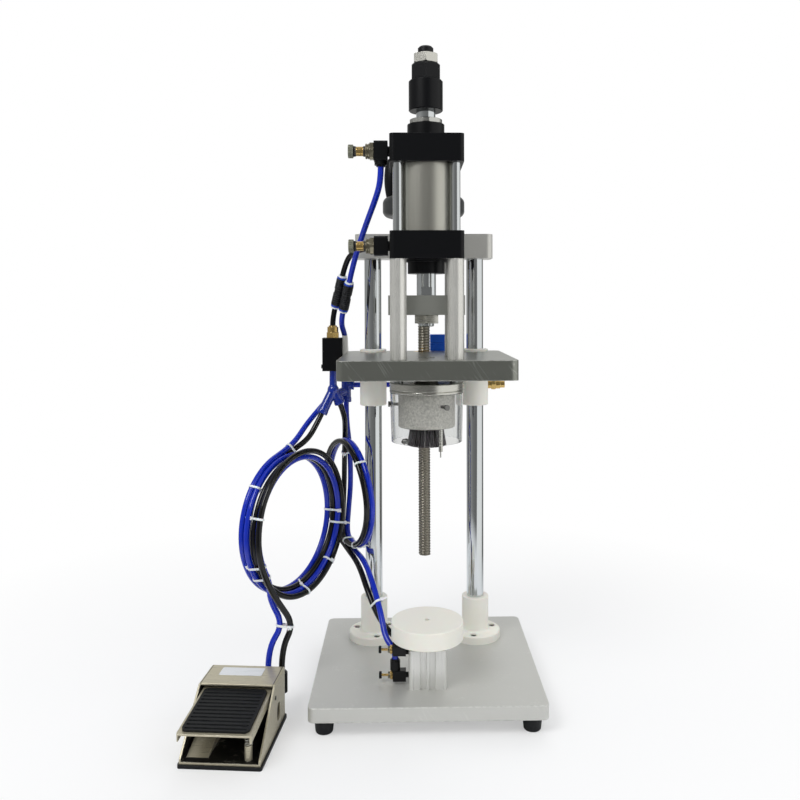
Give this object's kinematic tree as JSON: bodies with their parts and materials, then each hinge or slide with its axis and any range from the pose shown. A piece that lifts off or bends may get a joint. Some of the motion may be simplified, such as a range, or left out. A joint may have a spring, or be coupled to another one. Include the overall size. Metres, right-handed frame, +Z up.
{
  "type": "pneumatic capping machine",
  "caption": "Bench capping machine: an air cylinder drives a bell over a slit collet to close a bottle cap, with a height wheel, lifting support disc and foot pedal valve.",
  "frame": {"origin": "centre of the bottle support disc's top face, on the capping axis", "axes": "+Z up along the capping axis, +X to the machine's right, -Y towards the operator"},
  "size_m": [0.4387, 0.3806, 0.861],
  "materials": {
    "base_paint": "satin light grey paint",
    "plate_steel": "ground steel plate",
    "chrome_rod": "hard chromed",
    "nylon": "off-white nylon",
    "screw_steel": "black oxide steel",
    "dark_steel": "machined dark steel",
    "black_cast": "black anodised",
    "tube_alu": "satin anodised",
    "alu": "machined",
    "brass": "machined brass",
    "black_plastic": "black plastic",
    "wheel_plastic": "moulded",
    "bell_cast": "bead blasted",
    "bright_steel": "turned bright",
    "clear_guard": "clear plastic guard",
    "blue_anodised": "blue anodised",
    "hose_blue": "polyurethane tube",
    "hose_black": "polyurethane tube",
    "fitting": "moulded fittings",
    "foot_nickel": "nickel-toned finish",
    "rubber": "black rubber"
  },
  "bodies": {
    "frame": {"base_plate": "base_paint", "rubber_feet": "rubber", "columns": "chrome_rod", "column_sockets": "nylon", "frame_screws": "screw_steel", "top_beam": "alu", "beam_bushing": "nylon", "lift_cylinder": "alu", "lift_valves": "black_plastic", "foot_case": "foot_nickel", "foot_pad": "rubber", "foot_valve": "black_cast", "foot_coil": "hose_blue", "lift_coil": "hose_black", "foot_hoses_upper": "hose_blue", "foot_hoses_lower": "hose_blue", "lift_hoses_upper": "hose_black", "lift_hoses_lower": "hose_black"},
    "spindle": {"lead_screw": "dark_steel", "handwheel": "wheel_plastic"},
    "grip": {"handwheel_handle": "black_plastic"},
    "carriage": {"head_plate": "plate_steel", "plate_screws": "screw_steel", "guide_bushes": "nylon", "lead_nut": "brass", "standoffs": "chrome_rod", "lower_cap": "black_cast", "upper_cap": "black_cast", "cylinder_tube": "tube_alu", "tie_rods": "chrome_rod", "collet": "black_plastic", "collet_stem": "dark_steel", "main_valves": "black_plastic", "air_manifold": "blue_anodised", "air_fittings": "brass", "valve_bracket": "alu", "valve_block": "black_cast", "hose_fittings": "fitting", "upper_head_hose": "hose_blue", "lower_head_hose": "hose_black", "supply_hose": "hose_blue"},
    "ram": {"piston_rod": "chrome_rod", "stroke_adjuster": "black_cast", "rod_nuts": "bright_steel", "crossbar": "dark_steel", "push_pins": "chrome_rod", "head_ring": "bright_steel", "closing_bell": "bell_cast", "guard_cup": "clear_guard", "guard_screws": "screw_steel", "gauge_pin": "bright_steel"},
    "lift_table": {"lift_rod": "chrome_rod", "support_disc": "nylon"},
    "upper_valve_screw": {"upper_needle": "brass"},
    "lower_valve_screw": {"lower_needle": "brass"},
    "raise_valve_screw": {"raise_needle": "brass"},
    "sink_valve_screw": {"sink_needle": "brass"},
    "treadle": {"pedal": "foot_nickel", "pedal_tread": "rubber", "pedal_spring": "bright_steel"}
  },
  "joints": [
    {"name": "wheel_turn", "type": "hinge", "parent": "frame", "child": "spindle", "pos_m": [0, 0.145, 0.53], "axis": [0, 0, 1], "range_deg": [-9000, 16200]},
    {"name": "grip_spin", "type": "hinge", "parent": "spindle", "child": "grip", "pos_m": [-0.0466, 0.145, 0.6], "axis": [0, 0, 1], "continuous": true},
    {"name": "head_height", "type": "slide", "parent": "frame", "child": "carriage", "axis": [0, 0, 1], "range_m": [-0.18, 0.1], "deforming": ["foot_hoses_upper", "foot_hoses_lower", "foot_coil", "lift_hoses_upper", "lift_hoses_lower", "lift_coil"]},
    {"name": "ram_stroke", "type": "slide", "parent": "carriage", "child": "ram", "axis": [0, 0, -1], "range_m": [0, 0.0113]},
    {"name": "lift_stroke", "type": "slide", "parent": "frame", "child": "lift_table", "axis": [0, 0, 1], "range_m": [0, 0.02]},
    {"name": "upper_needle_turn", "type": "hinge", "parent": "carriage", "child": "upper_valve_screw", "pos_m": [-0.08, -0.015, 0.60525], "axis": [-1, 0, 0], "range_deg": [-720, 1800]},
    {"name": "lower_needle_turn", "type": "hinge", "parent": "carriage", "child": "lower_valve_screw", "pos_m": [-0.08, -0.015, 0.48525], "axis": [-1, 0, 0], "range_deg": [-720, 1800]},
    {"name": "raise_needle_turn", "type": "hinge", "parent": "frame", "child": "raise_valve_screw", "pos_m": [-0.05, -0.015, -0.032], "axis": [-1, 0, 0], "range_deg": [-720, 1800]},
    {"name": "sink_needle_turn", "type": "hinge", "parent": "frame", "child": "sink_valve_screw", "pos_m": [-0.05, -0.003, -0.0705], "axis": [-1, 0, 0], "range_deg": [-720, 1800]},
    {"name": "pedal_press", "type": "hinge", "parent": "frame", "child": "treadle", "pos_m": [-0.2349, -0.05777, -0.07], "axis": [0.9962, -0.0872, 0], "range_deg": [0, 12], "stiffness_Nm_per_rad": 2, "springref_deg": -20.05, "deforming": ["pedal_spring"]}
  ],
  "couplings": [
    {"joint": "wheel_turn", "follows": "head_height", "rad_per_m": -1570.8}
  ]
}
